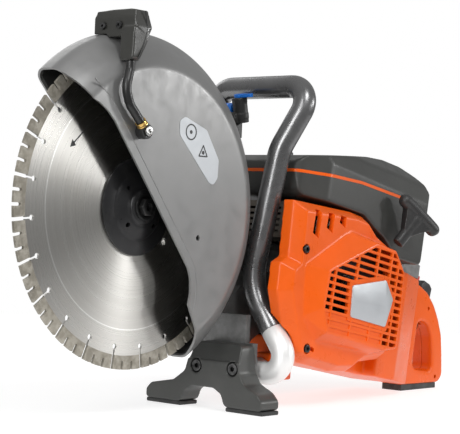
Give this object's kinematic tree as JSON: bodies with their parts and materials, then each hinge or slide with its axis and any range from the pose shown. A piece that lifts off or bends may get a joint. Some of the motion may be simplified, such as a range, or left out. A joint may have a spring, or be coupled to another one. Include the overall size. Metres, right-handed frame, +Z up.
{
  "type": "concrete cut-off saw",
  "caption": "Petrol hand-held cut-off saw: belt-driven diamond blade on an arm, tilting guard with water feed, loop front handle, rear grip, recoil starter and front foot.",
  "frame": {"origin": "on the ground, under the middle of the machine's box", "axes": "+X towards the blade, +Y to the machine's left (starter side), +Z up"},
  "size_m": [0.7942, 0.2144, 0.4317],
  "materials": {
    "guard_metal": "satin grey paint with light wear",
    "cast_alloy": "bare die-cast alloy",
    "blade_steel": "brushed steel disc",
    "segment": "sintered diamond segment",
    "flange_black": "black oxide",
    "bolt_black": "black zinc screws",
    "machined_steel": "machined steel",
    "orange_plastic": "orange moulded plastic",
    "dark_plastic": "dark warm grey moulded plastic",
    "black_plastic": "black moulded plastic",
    "grey_plastic": "grey moulded plastic",
    "tube_coating": "dark satin powder coat",
    "bare_tube": "bare cast aluminium",
    "foot_metal": "dark grey painted casting",
    "pad_rubber": "black rubber",
    "hose_rubber": "black hose",
    "brass": "brass fitting",
    "blue_plastic": "blue moulded plastic",
    "red_plastic": "red moulded plastic",
    "plate_silver": "plain satin plate",
    "belt_rubber": "ribbed rubber belt",
    "filter_paper": "pleated filter paper",
    "muffler_steel": "heat-stained steel",
    "ceramic": "white ceramic insulator"
  },
  "bodies": {
    "machine": {"crankcase_left": "cast_alloy", "crankcase_right": "cast_alloy", "ball_bearings": "machined_steel", "cylinder": "cast_alloy", "spark_plug": "ceramic", "muffler": "muffler_steel", "carburettor": "cast_alloy", "intake_bellows": "pad_rubber", "air_filter": "filter_paper", "engine_cover": "dark_plastic", "top_cover": "dark_plastic", "starter_cover": "orange_plastic", "nameplate": "plate_silver", "recoil_spring": "machined_steel", "cutting_arm": "cast_alloy", "drive_belt": "belt_rubber", "belt_guard": "dark_plastic", "fuel_tank": "orange_plastic", "rear_handle": "orange_plastic", "front_handle": "tube_coating", "handle_elbow": "bare_tube", "vibration_dampers": "pad_rubber", "front_foot": "foot_metal", "foot_pads": "pad_rubber", "foot_bolts": "bolt_black", "rear_pad": "pad_rubber", "cover_screws": "bolt_black"},
    "blade": {"blade_core": "blade_steel", "blade_segments": "segment", "outer_flange": "flange_black", "inner_flange": "flange_black", "blade_bolt": "bolt_black", "blade_spindle": "machined_steel", "arm_pulley": "cast_alloy"},
    "clutch_drum": {"clutch_drum": "machined_steel"},
    "crank": {"crankshaft": "machined_steel", "flywheel": "flange_black", "clutch_hub": "machined_steel"},
    "piston": {"piston": "cast_alloy", "piston_pin": "machined_steel", "connecting_rod": "machined_steel", "crank_pin": "machined_steel"},
    "guard": {"blade_guard": "guard_metal", "guard_liner": "pad_rubber", "guard_handle": "black_plastic", "guard_handle_screws": "bolt_black", "water_hose": "hose_rubber", "hose_fittings": "brass", "hose_banjo": "black_plastic", "water_valve": "black_plastic", "water_inlet": "blue_plastic"},
    "tap_lever": {"tap_lever": "blue_plastic"},
    "starter_handle": {"starter_handle": "grey_plastic"},
    "starter_pulley": {"starter_pulley": "black_plastic"},
    "throttle_trigger": {"throttle_trigger": "grey_plastic"},
    "throttle_lockout": {"throttle_lockout": "grey_plastic"},
    "stop_switch": {"stop_switch": "red_plastic"},
    "choke_knob": {"choke_knob": "black_plastic"},
    "decompression_button": {"decompression_button": "grey_plastic"},
    "fuel_cap": {"fuel_cap": "black_plastic"}
  },
  "joints": [
    {"name": "blade_spin", "type": "hinge", "parent": "machine", "child": "blade", "pos_m": [0.22215, 0.0033, 0.2267], "axis": [0, 1, 0], "continuous": true},
    {"name": "drum_spin", "type": "hinge", "parent": "machine", "child": "clutch_drum", "pos_m": [-0.08785, -0.0767, 0.1337], "axis": [0, 1, 0], "continuous": true},
    {"name": "crank_spin", "type": "hinge", "parent": "machine", "child": "crank", "pos_m": [-0.08785, -0.0087, 0.1337], "axis": [0, 1, 0], "continuous": true},
    {"name": "piston_slide", "type": "slide", "parent": "machine", "child": "piston", "axis": [-0.1736, 0, 0.9848], "range_m": [-0.038, 0]},
    {"name": "guard_tilt", "type": "hinge", "parent": "machine", "child": "guard", "pos_m": [0.22215, 0.0033, 0.2267], "axis": [0, 1, 0], "range_deg": [-8, 35]},
    {"name": "tap_turn", "type": "hinge", "parent": "guard", "child": "tap_lever", "pos_m": [0.0234, -0.0227, 0.365], "axis": [0.2079, 0, 0.9781], "range_deg": [-90, 0]},
    {"name": "starter_pull", "type": "slide", "parent": "machine", "child": "starter_handle", "axis": [-0.596, 0.2421, 0.7656], "range_m": [0, 0.6], "stiffness_N_per_m": 20, "springref_m": -0.3},
    {"name": "starter_pulley_spin", "type": "hinge", "parent": "machine", "child": "starter_pulley", "pos_m": [-0.08785, 0.0673, 0.1337], "axis": [0, 1, 0], "range_deg": [0, 1650]},
    {"name": "throttle_pull", "type": "hinge", "parent": "machine", "child": "throttle_trigger", "pos_m": [-0.33211, -0.0057, 0.11094], "axis": [0, 1, 0], "range_deg": [0, 12], "stiffness_Nm_per_rad": 0.5, "springref_deg": -17.19},
    {"name": "lockout_press", "type": "slide", "parent": "machine", "child": "throttle_lockout", "axis": [0.2708, 0, -0.9626], "range_m": [0, 0.006], "stiffness_N_per_m": 300, "springref_m": -0.003},
    {"name": "stop_slide", "type": "slide", "parent": "machine", "child": "stop_switch", "axis": [-0.9848, 0, -0.1736], "range_m": [0, 0.005]},
    {"name": "choke_pull", "type": "slide", "parent": "machine", "child": "choke_knob", "axis": [-0.1736, 0, 0.9848], "range_m": [0, 0.012]},
    {"name": "decompression_press", "type": "slide", "parent": "machine", "child": "decompression_button", "axis": [0.1736, 0, -0.9848], "range_m": [0, 0.004], "stiffness_N_per_m": 500, "springref_m": -0.002},
    {"name": "fuel_cap_turn", "type": "hinge", "parent": "machine", "child": "fuel_cap", "pos_m": [-0.2321, -0.0667, 0.08796], "axis": [0, -1, 0], "range_deg": [-90, 0]}
  ],
  "couplings": [
    {"joint": "drum_spin", "follows": "blade_spin", "ratio": 2},
    {"joint": "starter_pulley_spin", "follows": "starter_pull", "rad_per_m": 47.619}
  ]
}
